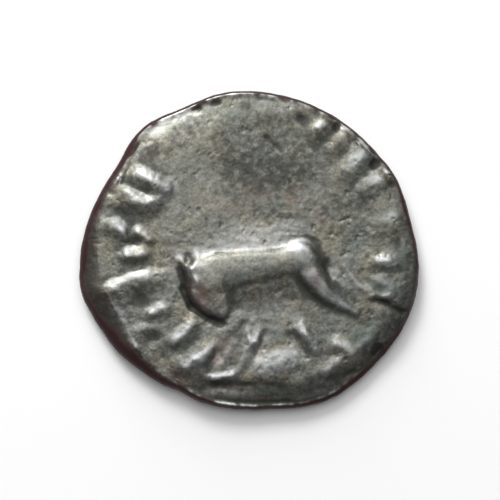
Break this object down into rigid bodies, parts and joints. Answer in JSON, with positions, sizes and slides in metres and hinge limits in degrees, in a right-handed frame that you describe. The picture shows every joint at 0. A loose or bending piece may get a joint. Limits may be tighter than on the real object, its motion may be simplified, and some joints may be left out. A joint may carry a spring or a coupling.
{
  "type": "ancient coin",
  "caption": "Worn hammered silver coin with an uneven outline, a four-legged beast in low relief and a border of shallow strokes, lying flat on its back face.",
  "frame": {"origin": "Middle of the coin's outline, on the surface that it lies on.", "axes": "+Z out of the struck face that looks up, +Y to the top of the picture on it, +X to its right."},
  "size_m": [0.0186, 0.0174, 0.002],
  "materials": {
    "silver": null
  },
  "bodies": {
    "root": {"coin": "silver"}
  },
  "joints": []
}
